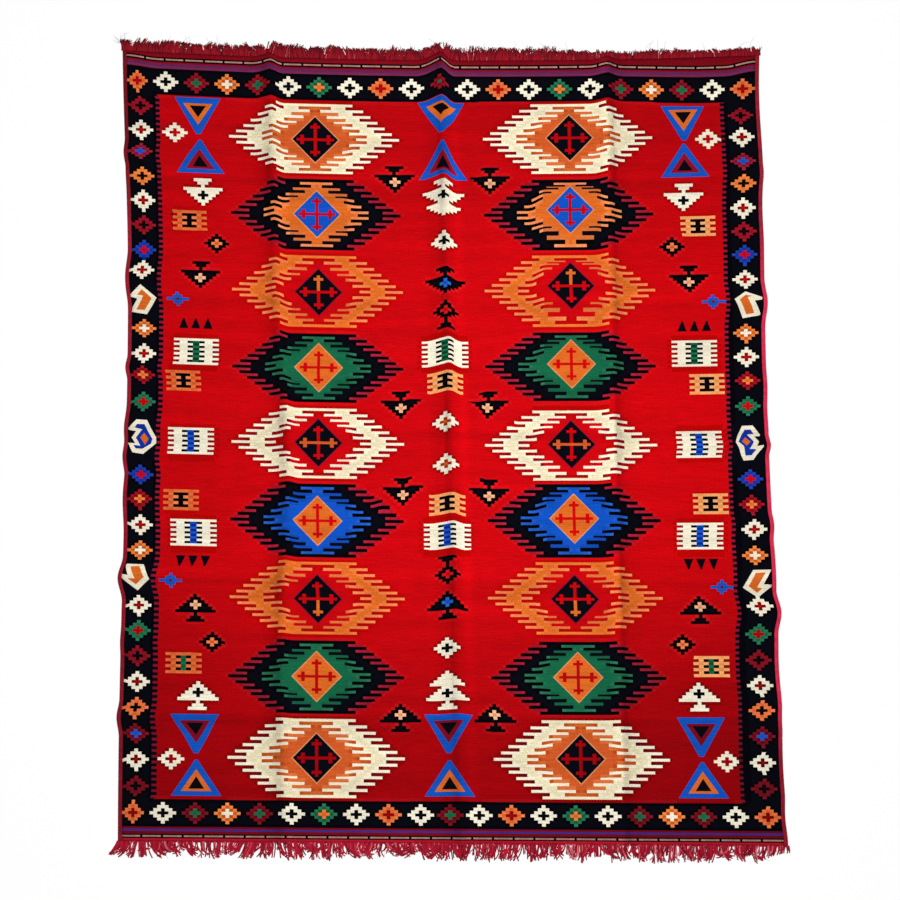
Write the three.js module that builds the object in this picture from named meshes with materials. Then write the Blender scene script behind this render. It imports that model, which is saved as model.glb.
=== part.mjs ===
// A kilim rug laid out flat: one tapestry-woven cloth, a red binding whipped along
// each side, and a short fringe of warp ends along each end. It was stored folded,
// so three soft ridges run down it and five fainter ones cross it.
// Millimetres, +Z up, +Y towards the top end, the underside on z = 0.

import * as THREE from "three";

// The woven body, without its fringes.
const BODY_WIDTH = 2000;
const BODY_LENGTH = 2440;
const CLOTH_THICKNESS = 2.6;
const BINDING_WIDTH = 12;
const BINDING_THICKNESS = 4.2;
const PIECE_GAP = 0.3;
const HALF_LENGTH = BODY_LENGTH / 2;
const CLOTH_HALF_WIDTH = BODY_WIDTH / 2 - BINDING_WIDTH - PIECE_GAP;

// How far the cloth and its edges stray from a true rectangle.
const LEAN = 0.0225; // out of square: how far each line along the rug leans left per length upwards
const TOP_EDGE_SAG = 24; // the middle of the top edge, below the line between its corners
const CREASE_ROUNDING = 0.18; // share of a flank that the crown of a ridge rounds off
const CREASE_FADE = 1.7; // how hollow a flank is: 1 is a straight tent

// The fold ridges along the rug: where each one starts and ends, how high it stands,
// how far its two flanks reach, and how far it draws the weft lines up at each end.
const LONG_RIDGES = [
  { xTop: -530, xBottom: -500, height: 13, leftFlank: 62, rightFlank: 38, drawTop: 13, drawBottom: 3 },
  { xTop: 0, xBottom: 28, height: 17, leftFlank: 80, rightFlank: 40, drawTop: 23, drawBottom: 3 },
  { xTop: 520, xBottom: 512, height: 12, leftFlank: 58, rightFlank: 46, drawTop: 8, drawBottom: 2 },
];

// The fainter fold ridges across it.
const CROSS_RIDGES = [
  { y: 815, height: 4, flank: 62 },
  { y: 433, height: 5, flank: 62 },
  { y: 29, height: 6, flank: 70 },
  { y: -430, height: 5, flank: 62 },
  { y: -842, height: 5, flank: 62 },
];

// Each side edge: one long shallow bow inwards, and bulges, or tucks where out is below 0.
const SIDES = [
  {
    name: "left",
    sign: -1,
    bow: { y: 420, depth: 22.5, above: 940, below: 1567 },
    bulges: [
      { y: 880, out: 5.5, reach: 50 },
      { y: 488, out: 9.3, reach: 95 },
      { y: 208, out: 6.5, reach: 42 },
      { y: 10, out: 6.2, reach: 95 },
      { y: -70, out: 9.5, reach: 60 },
      { y: -190, out: 6, reach: 120 },
      { y: -437, out: 13.5, reach: 70 },
      { y: -628, out: 2.2, reach: 50 },
      { y: -855, out: 6.8, reach: 58 },
    ],
  },
  {
    name: "right",
    sign: 1,
    bow: { y: 80, depth: 17, above: 1150, below: 1150 },
    bulges: [
      { y: 1075, out: -8, reach: 250 },
      { y: 832, out: 1.5, reach: 40 },
      { y: 725, out: -3.6, reach: 130 },
      { y: 422, out: 8.2, reach: 80 },
      { y: 165, out: 2.6, reach: 75 },
      { y: -18, out: 6.8, reach: 36 },
      { y: -262, out: 5.5, reach: 50 },
      { y: -370, out: 3, reach: 110 },
      { y: -524, out: 12.3, reach: 68 },
      { y: -695, out: -4.8, reach: 140 },
      { y: -840, out: -2.5, reach: 45 },
      { y: -975, out: -6.6, reach: 220 },
      { y: -1135, out: -4.5, reach: 75 },
    ],
  },
];

// The fringes: clumps of warp ends, each comb one solid with a tooth for a clump.
const FRINGES = [
  { name: "fringe_top", sign: 1, spine: 12, shortest: 20, longest: 38, clump: 44, tip: 0.55, seed: 3 },
  { name: "fringe_bottom", sign: -1, spine: 7, shortest: 30, longest: 48, clump: 40, tip: 0.62, seed: 8 },
];
const FRINGE_THICKNESS = 3.4;

// The facets: rows across the rug, and places on a ridge as shares of its flanks.
const ROW_COUNT = 44;
const FLANK_STATIONS = [-1, -0.55, -0.22, 0, 0.22, 0.55, 1];

const COLOURS = { field: 0xc4000f, binding: 0xb01530, fringe: 0xa80f24 };

const mix = (from, to, share) => from + (to - from) * share;

// 0 at the bottom end, 1 at the top end.
const shareUp = (y) => y / BODY_LENGTH + 0.5;

// A hump that is 1 at distance 0 and falls smoothly to 0 at the reach.
function hump(distance, reach) {
  const share = Math.min(1, Math.abs(distance) / reach);
  return Math.cos((share * Math.PI) / 2) ** 2;
}

// The cross-section of a fold ridge: a tent with a rounded crown and hollow flanks.
function tent(distance, flank) {
  const share = Math.min(1, Math.abs(distance) / flank);
  const rounded = Math.hypot(share, CREASE_ROUNDING) - CREASE_ROUNDING;
  const whole = Math.hypot(1, CREASE_ROUNDING) - CREASE_ROUNDING;
  return (1 - rounded / whole) ** CREASE_FADE;
}

const ridgeX = (ridge, y) => mix(ridge.xBottom, ridge.xTop, shareUp(y));

function ridgeShare(ridge, x, y) {
  const distance = x - ridgeX(ridge, y);
  return tent(distance, distance < 0 ? ridge.leftFlank : ridge.rightFlank);
}

// How far a side edge lies outside its straight line at height y.
function sideOffset(side, y) {
  const bulges = side.bulges.reduce((sum, b) => sum + b.out * hump(y - b.y, b.reach), 0);
  const reach = y > side.bow.y ? side.bow.above : side.bow.below;
  return bulges - side.bow.depth * hump(y - side.bow.y, reach);
}

// A place on the straight cloth, (x, y), to its place as the cloth lies; z is its underside.
function laid(x, y) {
  const side = SIDES[x < 0 ? 0 : 1];
  const across = x / CLOTH_HALF_WIDTH;
  const up = shareUp(y);
  let lift = 0;
  let drawn = 0;
  for (const ridge of LONG_RIDGES) {
    const share = ridgeShare(ridge, x, y);
    lift += ridge.height * share;
    drawn += mix(ridge.drawBottom, ridge.drawTop, up) * share;
  }
  for (const ridge of CROSS_RIDGES) lift += ridge.height * tent(y - ridge.y, ridge.flank);
  const along = y + drawn - TOP_EDGE_SAG * up * (1 - across ** 2);
  return new THREE.Vector3(
    x + side.sign * sideOffset(side, y) * across ** 2 - LEAN * along,
    along,
    lift,
  );
}

// The rows of facets, the same for the cloth and its bindings so that their edges match.
const rows = Array.from({ length: ROW_COUNT + 1 }, (_, i) => mix(-HALF_LENGTH, HALF_LENGTH, i / ROW_COUNT));

// The columns of facets at height y: both edges, and every ridge's crown and flanks.
function columns(y) {
  const places = [-CLOTH_HALF_WIDTH];
  for (const ridge of LONG_RIDGES)
    for (const station of FLANK_STATIONS)
      places.push(ridgeX(ridge, y) + station * (station < 0 ? ridge.leftFlank : ridge.rightFlank));
  places.push(CLOTH_HALF_WIDTH);
  return places;
}

function geometryOf(points, faces) {
  const geometry = new THREE.BufferGeometry().setFromPoints(points);
  geometry.setIndex(faces.flat());
  geometry.computeVertexNormals();
  return geometry;
}

function meshOf(name, geometry, colour, roughness) {
  const material = new THREE.MeshStandardMaterial({ color: colour, roughness, metalness: 0 });
  const mesh = new THREE.Mesh(geometry, material);
  mesh.name = name;
  return mesh;
}

// The cloth: a grid of facets below, the same grid a thickness higher, and a rim.
function clothGeometry() {
  const under = rows.map((y) => columns(y).map((x) => laid(x, y)));
  const perRow = under[0].length;
  const perFace = perRow * rows.length;
  const over = under.map((row) => row.map((p) => p.clone().setZ(p.z + CLOTH_THICKNESS)));
  const faces = [];
  for (let r = 0; r + 1 < rows.length; r++)
    for (let c = 0; c + 1 < perRow; c++) {
      const [a, b] = [r * perRow + c, r * perRow + c + 1];
      const [d, e] = [a + perRow, b + perRow];
      faces.push([a, d, b], [b, d, e]);
      faces.push([a + perFace, b + perFace, d + perFace], [b + perFace, e + perFace, d + perFace]);
    }
  const lastRow = (rows.length - 1) * perRow;
  const rim = [
    ...Array.from({ length: perRow }, (_, c) => c),
    ...rows.slice(1).map((_, r) => (r + 2) * perRow - 1),
    ...Array.from({ length: perRow - 1 }, (_, c) => lastRow + perRow - 2 - c),
    ...rows.slice(1, -1).map((_, r) => lastRow - (r + 1) * perRow),
  ];
  rim.forEach((here, i) => {
    const next = rim[(i + 1) % rim.length];
    faces.push([here, next, next + perFace], [here, next + perFace, here + perFace]);
  });
  return geometryOf([...under, ...over].flat(), faces);
}

// A binding: an eight-sided rounded strip carried along the edge of the cloth.
function bindingGeometry(side) {
  const [w, t] = [BINDING_WIDTH, BINDING_THICKNESS];
  const bevel = 1.3;
  const section = [
    [bevel, 0],
    [w - bevel, 0],
    [w, bevel],
    [w, t - bevel],
    [w - bevel, t],
    [bevel, t],
    [0, t - bevel],
    [0, bevel],
  ];
  const sides = section.length;
  const points = rows.flatMap((y) => {
    const edge = laid(side.sign * CLOTH_HALF_WIDTH, y);
    return section.map(
      ([out, up]) => new THREE.Vector3(edge.x + side.sign * (PIECE_GAP + out), edge.y, edge.z + up),
    );
  });
  const faces = [];
  for (let r = 0; r + 1 < rows.length; r++)
    for (let s = 0; s < sides; s++) {
      const [a, b] = [r * sides + s, r * sides + ((s + 1) % sides)];
      faces.push([a, b, b + sides], [a, b + sides, a + sides]);
    }
  const last = (rows.length - 1) * sides;
  for (let s = 1; s + 1 < sides; s++) {
    faces.push([0, s + 1, s], [last, last + s, last + s + 1]);
  }
  // The section runs one way round on the right edge and the other way on the left.
  if (side.sign > 0) faces.forEach((f) => f.reverse());
  return geometryOf(points, faces);
}

// A number from 0 to 1 that looks random and is the same every time.
const scatter = (n) => Math.abs(Math.sin(n * 12.9898 + 4.1414) * 43758.5453) % 1;

// A fringe: a strip along the end of the cloth with a blunt tooth for every clump.
function fringeGeometry(fringe) {
  const endY = fringe.sign * HALF_LENGTH;
  const base = columns(endY).map((x) => laid(x, endY));
  const [first, last] = [base[0], base[base.length - 1]];
  const overBinding = PIECE_GAP + BINDING_WIDTH;
  base.unshift(first.clone().setX(first.x - overBinding));
  base.push(last.clone().setX(last.x + overBinding));

  // The height and the y of the end of the cloth at any x.
  const endOfCloth = (x) => {
    const next = Math.max(1, base.findIndex((p) => p.x >= x));
    const [a, b] = [base[next - 1], base[next]];
    return a.clone().lerp(b, (x - a.x) / (b.x - a.x));
  };

  const [from, to] = [base[0].x, base[base.length - 1].x];
  const clumps = Math.round((to - from) / fringe.clump);
  const valley = (i) => {
    const stray = i === 0 || i === clumps ? 0 : 0.4 * (scatter(i + fringe.seed) - 0.5);
    return mix(from, to, (i + stray) / clumps);
  };
  const tips = [];
  for (let i = 0; i < clumps; i++) {
    const [left, right] = [valley(i), valley(i + 1)];
    const length = mix(fringe.shortest, fringe.longest, scatter(7 * i + fringe.seed));
    const middle = mix(left, right, 0.35 + 0.3 * scatter(11 * i + fringe.seed));
    const half = ((right - left) * fringe.tip) / 2;
    tips.push({ x: left, out: fringe.spine });
    tips.push({ x: Math.max(left + 1, middle - half), out: length });
    tips.push({ x: Math.min(right - 1, middle + half), out: length * 0.94 });
  }
  tips.push({ x: to, out: fringe.spine });

  const outline = [
    ...base.map((p) => ({ x: p.x, y: p.y + fringe.sign * PIECE_GAP, z: p.z })),
    ...tips.reverse().map((tip) => {
      const end = endOfCloth(Math.min(tip.x, to));
      const fall = Math.max(0, 1 - tip.out / fringe.shortest);
      return { x: tip.x, y: end.y + fringe.sign * (PIECE_GAP + tip.out), z: end.z * fall };
    }),
  ];
  const shape = outline.map((p) => new THREE.Vector2(p.x, p.y));
  const count = shape.length;
  // The top comb's outline runs clockwise, so its triangles are turned over.
  const clockwise = THREE.ShapeUtils.isClockWise(shape);
  const caps = THREE.ShapeUtils.triangulateShape(clockwise ? shape.slice().reverse() : shape, []);
  const flip = (n) => (clockwise ? count - 1 - n : n);
  const faces = [];
  for (const cap of caps) {
    const [a, b, c] = cap.map(flip);
    faces.push([a, c, b], [a + count, b + count, c + count]);
  }
  for (let i = 0; i < count; i++) {
    const [here, next] = [i, (i + 1) % count];
    const wall = [
      [here, next, next + count],
      [here, next + count, here + count],
    ];
    faces.push(...wall.map((f) => (clockwise ? f.reverse() : f)));
  }
  const points = outline.map((p) => new THREE.Vector3(p.x, p.y, p.z));
  const over = points.map((p) => p.clone().setZ(p.z + FRINGE_THICKNESS));
  return geometryOf([...points, ...over], faces);
}

const rug = new THREE.Group();
rug.add(meshOf("cloth", clothGeometry(), COLOURS.field, 0.85));
for (const side of SIDES)
  rug.add(meshOf(`binding_${side.name}`, bindingGeometry(side), COLOURS.binding, 0.8));
for (const fringe of FRINGES)
  rug.add(meshOf(fringe.name, fringeGeometry(fringe), COLOURS.fringe, 0.85));

// The origin is under the middle of the rug, fringes included.
const box = new THREE.Box3().setFromObject(rug);
const centre = box.getCenter(new THREE.Vector3());
rug.position.set(-centre.x, -centre.y, 0);

export default rug;
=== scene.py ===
import math

import bpy
import numpy as np
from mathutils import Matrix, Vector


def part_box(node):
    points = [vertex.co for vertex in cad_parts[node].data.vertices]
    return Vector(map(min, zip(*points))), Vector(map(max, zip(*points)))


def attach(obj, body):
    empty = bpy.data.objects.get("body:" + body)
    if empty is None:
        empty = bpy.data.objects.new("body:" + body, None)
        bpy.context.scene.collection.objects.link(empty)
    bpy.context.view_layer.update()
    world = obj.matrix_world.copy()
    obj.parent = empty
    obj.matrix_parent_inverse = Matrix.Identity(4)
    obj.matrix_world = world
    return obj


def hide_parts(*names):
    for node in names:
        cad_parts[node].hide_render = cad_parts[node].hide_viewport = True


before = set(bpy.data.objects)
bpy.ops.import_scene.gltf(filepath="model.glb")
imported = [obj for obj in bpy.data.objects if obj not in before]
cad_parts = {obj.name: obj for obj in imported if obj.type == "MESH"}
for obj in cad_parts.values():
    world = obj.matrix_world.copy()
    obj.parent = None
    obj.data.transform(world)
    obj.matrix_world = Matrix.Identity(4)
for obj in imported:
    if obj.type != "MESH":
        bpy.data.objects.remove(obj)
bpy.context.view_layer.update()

# ------------------------------------------------------------------ camera and room
# The rug lies on a pale studio floor and is seen from over its middle, from slightly
# towards its lower end. One soft lamp hangs above it and the pale room fills the rest.

cloth_low, cloth_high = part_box("cloth")
middle_x = (cloth_low.x + cloth_high.x) / 2
middle_y = (cloth_low.y + cloth_high.y) / 2


def add_object(name, data):
    """A new object, linked into the scene."""
    made = bpy.data.objects.new(name, data)
    bpy.context.scene.collection.objects.link(made)
    return made


camera_data = bpy.data.cameras.new("camera")
camera_data.sensor_width = 36.0
camera_data.lens = 52.53
camera = add_object("camera", camera_data)
camera.rotation_mode = "ZXY"
camera.location = (middle_x + 0.0089, middle_y - 0.3646, 4.0)
camera.rotation_euler = (math.radians(4.642), 0.0, math.radians(0.437))
bpy.context.scene.camera = camera
bpy.context.scene.view_settings.view_transform = "Standard"


def add_node(tree, kind, inputs=None, **settings):
    """A shader node with its settings and inputs; an input is a value or another node's output."""
    made = tree.nodes.new("ShaderNode" + kind)
    for name, value in settings.items():
        setattr(made, name, value)
    for name, value in (inputs or {}).items():
        if isinstance(value, bpy.types.NodeSocket):
            tree.links.new(value, made.inputs[name])
        else:
            made.inputs[name].default_value = value
    return made


def new_material(name):
    """An empty node material, its tree, and its output node."""
    material = bpy.data.materials.new(name)
    material.use_nodes = True
    material.node_tree.nodes.clear()
    return material, material.node_tree, add_node(material.node_tree, "OutputMaterial")


def math_node(tree, operation, first, second=0.0):
    return add_node(tree, "Math", {0: first, 1: second}, operation=operation).outputs[0]


def studio_floor(half_width=9.0, gap=0.0004):
    """A plain square sheet just under the rug. The camera sees it as white with the rug's
    shadow on it; to the light it is an ordinary pale floor."""
    mesh = bpy.data.meshes.new("studio_floor")
    corners = [(-1, -1), (1, -1), (1, 1), (-1, 1)]
    mesh.from_pydata([(x * half_width, y * half_width, -gap) for x, y in corners], [], [(0, 1, 2, 3)])
    material, tree, output = new_material("studio_floor")
    pale = add_node(tree, "BsdfDiffuse", {"Color": (0.8, 0.8, 0.8, 1.0)})
    white = add_node(tree, "Emission", {"Color": (1.0, 1.0, 1.0, 1.0), "Strength": 1.06})
    seen = add_node(tree, "LightPath").outputs["Is Camera Ray"]
    share = math_node(tree, "MULTIPLY", seen, 0.86)
    mixed = add_node(tree, "MixShader", {0: share, 1: pale.outputs[0], 2: white.outputs[0]})
    tree.links.new(mixed.outputs[0], output.inputs["Surface"])
    mesh.materials.append(material)
    floor = add_object("studio_floor", mesh)


def studio_room(fill=0.53):
    """An even pale fill from all round, and plain white where the camera looks past the floor."""
    world = bpy.data.worlds.new("room")
    world.use_nodes = True
    tree = world.node_tree
    tree.nodes.clear()
    seen = add_node(tree, "LightPath").outputs["Is Camera Ray"]
    strength = math_node(tree, "MAXIMUM", seen, fill)
    sky = add_node(tree, "Background", {"Color": (1.0, 1.0, 1.0, 1.0), "Strength": strength})
    output = add_node(tree, "OutputWorld")
    tree.links.new(sky.outputs[0], output.inputs["Surface"])
    bpy.context.scene.world = world


def soft_lamp(place, width, length, power):
    """A long soft lamp that shines straight down and runs the same way as the rug."""
    data = bpy.data.lights.new("soft_lamp", "AREA")
    data.shape = "RECTANGLE"
    data.size = width
    data.size_y = length
    data.energy = power
    add_object("soft_lamp", data).location = place


studio_floor()
studio_room()
soft_lamp((middle_x + 0.05, middle_y + 0.20, 1.90), 0.30, 3.4, 27.0)


# ------------------------------------------------------------------ the cloth
# One piece of wool tapestry weave, two metres by two and a half: a black border with
# stepped diamonds, a red field with two files of serrated medallions, and striped
# bands at both ends. It was stored folded, so soft ridges run down and across it.

HALF_LENGTH = 1.22
CLOTH_HALF_WIDTH = 0.9877
CLOTH_THICKNESS = 0.0026
LEAN = 0.0225  # out of square: how far each line along the rug leans left per length upwards
TOP_EDGE_SAG = 0.024
RIDGE_BOW_AT = -0.10
RIDGE_BOW_REACH = 0.60
CREASE_ROUNDING = 0.18
CREASE_FADE = 1.7
CREASE_SHARPNESS = 2.1

# Each long ridge: x of its crown at the top and bottom, its bow to the right in the middle,
# its height, the widths of its flanks, and how far it draws the rows up at the top and bottom.
LONG_RIDGES = [
    dict(
        top=-0.533, bottom=-0.500, bow=0.029, height=0.013,
        left=0.062, right=0.034, draw_top=0.010, draw_bottom=0.003,
    ),
    dict(
        top=0.0, bottom=0.028, bow=0.0, height=0.017,
        left=0.080, right=0.040, draw_top=0.023, draw_bottom=0.003,
    ),
    dict(
        top=0.520, bottom=0.512, bow=0.0, height=0.012,
        left=0.058, right=0.046, draw_top=0.008, draw_bottom=0.002,
    ),
]
CROSS_RIDGES = [  # y, height, flank
    (0.815, 0.004, 0.062),
    (0.433, 0.005, 0.062),
    (0.029, 0.006, 0.070),
    (-0.430, 0.005, 0.062),
    (-0.842, 0.005, 0.062),
]
# Each side edge bows inwards and has bulges and tucks: y, how far out, reach. The bow is
# y, depth, reach above and reach below.
LEFT_SIDE = dict(
    sign=-1,
    bow=(0.420, 0.0225, 0.940, 1.567),
    bulges=[
        (0.880, 0.0055, 0.050),
        (0.488, 0.0093, 0.095),
        (0.208, 0.0065, 0.042),
        (0.010, 0.0062, 0.095),
        (-0.070, 0.0095, 0.060),
        (-0.190, 0.0060, 0.120),
        (-0.437, 0.0135, 0.070),
        (-0.628, 0.0022, 0.050),
        (-0.855, 0.0068, 0.058),
    ],
)
RIGHT_SIDE = dict(
    sign=1,
    bow=(0.080, 0.017, 1.150, 1.150),
    bulges=[
        (1.075, -0.0080, 0.250),
        (0.832, 0.0015, 0.040),
        (0.725, -0.0036, 0.130),
        (0.422, 0.0082, 0.080),
        (0.165, 0.0026, 0.075),
        (-0.018, 0.0068, 0.036),
        (-0.262, 0.0055, 0.050),
        (-0.370, 0.0030, 0.110),
        (-0.524, 0.0123, 0.068),
        (-0.695, -0.0048, 0.140),
        (-0.840, -0.0025, 0.045),
        (-0.975, -0.0066, 0.220),
        (-1.135, -0.0045, 0.075),
    ],
)


def hump(distance, reach):
    """The squared cosine of the distance, as a share of the reach: 1 in the middle, 0 at the reach."""
    return np.cos(np.minimum(1.0, np.abs(distance) / reach) * math.pi / 2) ** 2


def tent(distance, flank, fade=CREASE_FADE):
    """A fold ridge's cross-section: a tent with a rounded crown, its flanks hollowed by a power."""
    share = np.minimum(1.0, np.abs(distance) / flank)
    rounded = np.hypot(share, CREASE_ROUNDING) - CREASE_ROUNDING
    whole = math.hypot(1.0, CREASE_ROUNDING) - CREASE_ROUNDING
    return np.maximum(0.0, 1.0 - rounded / whole) ** fade


def from_crown(ridge, x, y):
    """How far each place lies to the right of a long ridge's crown."""
    up = y / (2 * HALF_LENGTH) + 0.5
    bowed = ridge["bow"] * hump(y - RIDGE_BOW_AT, RIDGE_BOW_REACH)
    return x - (ridge["bottom"] + (ridge["top"] - ridge["bottom"]) * up + bowed)


def ridge_share(ridge, x, y, fade=CREASE_FADE):
    """How far up a long ridge each place is, 1 on its crown."""
    distance = from_crown(ridge, x, y)
    return tent(distance, np.where(distance < 0, ridge["left"], ridge["right"]), fade)


def side_offset(side, y):
    """How far a side edge lies outside its straight line: the sum of its bulges less its bow."""
    out = sum(far * hump(y - at, reach) for at, far, reach in side["bulges"])
    at, depth, above, below = side["bow"]
    return out - depth * hump(y - at, np.where(y > at, above, below))


def lay_out(x, y):
    """Places on the straight cloth to places as it lies; z is its underside. The ridges lift it
    and draw its rows upwards, the sides bow, the top edge sags and the whole leans left."""
    across = x / CLOTH_HALF_WIDTH
    up = y / (2 * HALF_LENGTH) + 0.5
    lift = sum(height * tent(y - at, flank) for at, height, flank in CROSS_RIDGES)
    drawn = 0.0
    for ridge in LONG_RIDGES:
        lift = lift + ridge["height"] * ridge_share(ridge, x, y, CREASE_SHARPNESS)
        share = ridge_share(ridge, x, y)
        drawn = drawn + (ridge["draw_bottom"] + (ridge["draw_top"] - ridge["draw_bottom"]) * up) * share
    sides = np.where(x < 0, -side_offset(LEFT_SIDE, y), side_offset(RIGHT_SIDE, y))
    along = y + drawn - TOP_EDGE_SAG * up * (1 - across**2)
    return np.stack([x + sides * across**2 - LEAN * along, along, lift], axis=-1)


# The straight cloth's middle, found from the lower corners of the CAD cloth.
low_right = lay_out(np.array(CLOTH_HALF_WIDTH), np.array(-HALF_LENGTH))
MIDDLE = np.array([cloth_high.x - low_right[0], cloth_low.y + HALF_LENGTH, 0.0])

# The weaver's chart: cells of warp by rows of weft, the first row at the top end.
COLUMNS = 175
ROWS = 275
CELL = 2 * CLOTH_HALF_WIDTH / COLUMNS
MIDDLE_COLUMN = COLUMNS // 2
FIELD_TOP = 16  # rows
FIELD_BOTTOM = 259
LEFT_BORDER = 8  # cells
RIGHT_BORDER = 9

# Where each row of the chart lies, in millimetres up from the rug's middle. The weaver
# beat some stretches closer than others.
BEAT = [  # row, y
    (0, 1220),
    (1, 1192),
    (2, 1187),
    (3, 1182),
    (4, 1176.5),
    (5, 1171),
    (6, 1163),
    (7, 1155),
    (16, 1071),
    (17.5, 1054),
    (29.5, 949),
    (41.5, 840),
    (44.5, 815),
    (56.5, 716),
    (68.5, 600),
    (83.5, 463),
    (110.5, 224),
    (137.5, 0),
    (164.5, -243),
    (191.5, -487),
    (218.5, -716),
    (245.5, -961),
    (259, -1093),
    (268, -1174),
    (269, -1180.5),
    (270, -1186.5),
    (271, -1195),
    (272, -1199),
    (273, -1204),
    (274, -1208),
    (275, -1220),
]
# How far the warps strayed sideways from an even spacing, in millimetres.
DRIFT = [  # x, at the top, at the bottom
    (-987.7, 0, 0),
    (-897, -1, -3),
    (-886, 0, 2),
    (-756, -6, -10),
    (-395, 3, -8),
    (0, -3, -9),
    (395, 6, -16),
    (756, -4, -9),
    (874, -2, -10),
    (886, 0, -10),
    (897, 2, -7),
    (976, 3, -6),
    (987.7, 0, 0),
]

beat_rows, beat_y = np.array(BEAT, float).T
row_edges = np.arange(ROWS + 1)
straight_x = np.linspace(-CLOTH_HALF_WIDTH, CLOTH_HALF_WIDTH, COLUMNS + 1)
straight_y = np.interp(row_edges, beat_rows, beat_y / 1000)
drift_x, drift_top, drift_bottom = np.array(DRIFT, float).T / 1000
up_share = straight_y[:, None] / (2 * HALF_LENGTH) + 0.5
grid_x = (
    straight_x[None, :]
    + np.interp(straight_x, drift_x, drift_top)[None, :] * up_share
    + np.interp(straight_x, drift_x, drift_bottom)[None, :] * (1 - up_share)
)
grid_y = np.repeat(straight_y[:, None], COLUMNS + 1, axis=1)

# The end borders hold 21 diamonds and the dashed lines 32 dashes, spaced evenly and not
# by the field's cells, so their columns are spread afresh.
DIAMOND_STEPS = [8, 9, 8, 8, 9, 8, 9, 8, 8, 9]  # cells from each diamond's middle to the next
DIAMOND_CELLS = 7
DIAMOND_PITCH = 0.0963
DIAMOND_STARTS = (-0.095, -0.007, 0.080)  # the last on the left, the middle one, the first on the right
DASHES = 32
DASH_PITCH = 0.0617
DASH_GAP = 0.0068
DASH_ROWS = (2, 272)


def spread_diamonds():
    """Column edges for an end border: seven even cells about every diamond's middle."""
    steps = np.cumsum([0] + DIAMOND_STEPS)
    middles = np.concatenate([-steps[:0:-1], steps]) + COLUMNS / 2
    run = DIAMOND_PITCH * np.arange(len(DIAMOND_STEPS))
    left, middle, right = DIAMOND_STARTS
    places = np.concatenate([left - run[::-1], [middle], right + run])
    half = DIAMOND_CELLS / 2
    cells = np.stack([middles - half, middles + half], axis=1).ravel()
    edges = np.stack([places - half * CELL, places + half * CELL], axis=1).ravel()
    cells = np.concatenate([[0], cells[1:-1], [COLUMNS]])
    edges = np.concatenate([[-CLOTH_HALF_WIDTH], edges[1:-1], [CLOTH_HALF_WIDTH]])
    return np.interp(np.arange(COLUMNS + 1), cells, edges), middles


def spread_dashes():
    """Column edges for a dashed line, and which columns are the gaps between its dashes."""
    starts = (-CLOTH_HALF_WIDTH + DASH_PITCH * np.arange(DASHES + 1))[1:-1]
    gap_ends = np.round(np.linspace(0, COLUMNS, DASHES + 1))[1:-1]
    knots = np.sort(np.concatenate([[0], gap_ends - 1, gap_ends, [COLUMNS]]))
    sides = ([-CLOTH_HALF_WIDTH], starts - DASH_GAP, starts, [CLOTH_HALF_WIDTH])
    edges = np.sort(np.concatenate(sides))
    return np.interp(np.arange(COLUMNS + 1), knots, edges), (gap_ends - 1).astype(int)


diamond_edges, diamond_middles = spread_diamonds()
dash_edges, dash_gaps = spread_dashes()
field_ends = [FIELD_TOP - 1, FIELD_TOP + 1, FIELD_BOTTOM - 1, FIELD_BOTTOM + 1]
border_share = np.interp(row_edges, field_ends, [1, 0, 0, 1])[:, None]
grid_x = grid_x * (1 - border_share) + diamond_edges[None, :] * border_share
dash_ends = [row + step for row in DASH_ROWS for step in (-1, 0, 1, 2)]
dash_share = np.interp(row_edges, dash_ends, [0, 1, 1, 0] * 2)[:, None]
grid_x = grid_x * (1 - dash_share) + dash_edges[None, :] * dash_share

# The dyes, as they look on the rug in plain light: red, green and blue out of 255.
DYES = {
    "red": (205, 3, 12),
    "black": (6, 6, 16),
    "ivory": (243, 231, 192),
    "white": (252, 243, 216),
    "orange": (226, 108, 36),
    "terracotta": (214, 92, 40),
    "blue": (16, 84, 198),
    "deep blue": (18, 52, 162),
    "bright blue": (18, 86, 194),
    "green": (20, 104, 70),
    "plum": (116, 34, 72),
    "violet": (100, 36, 88),
    "crimson": (150, 8, 28),
    "bright crimson": (160, 14, 38),
    "pink": (152, 16, 44),
    "dark red": (144, 6, 24),
    "apricot": (236, 150, 82),
    "pale orange": (224, 116, 60),
    "pale terracotta": (226, 116, 58),
    "pale green": (22, 96, 66),
    "pale blue": (18, 76, 182),
    "indigo": (58, 44, 134),
    "edge red": (184, 18, 40),
    "tan": (152, 106, 92),
    "dull tan": (140, 98, 84),
    "peach": (224, 150, 104),
}
DYE_NAMES = list(DYES)


def to_linear(colour):
    """A colour out of 255 to the linear values that shaders take."""
    share = np.asarray(colour, float) / 255
    return np.where(share <= 0.04045, share / 12.92, ((share + 0.055) / 1.055) ** 2.4)


# Every cell has four dyes: its own, and up to three more that lie inside slanting
# edges which cross it. A plain cell has the same dye four times.
chart = np.full((4, ROWS, COLUMNS), DYE_NAMES.index("black"))
toothed = np.zeros((ROWS, COLUMNS))
TOOTH_PITCH = 0.0169
TOOTH_SHARE = 0.55  # black, of each pitch

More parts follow.
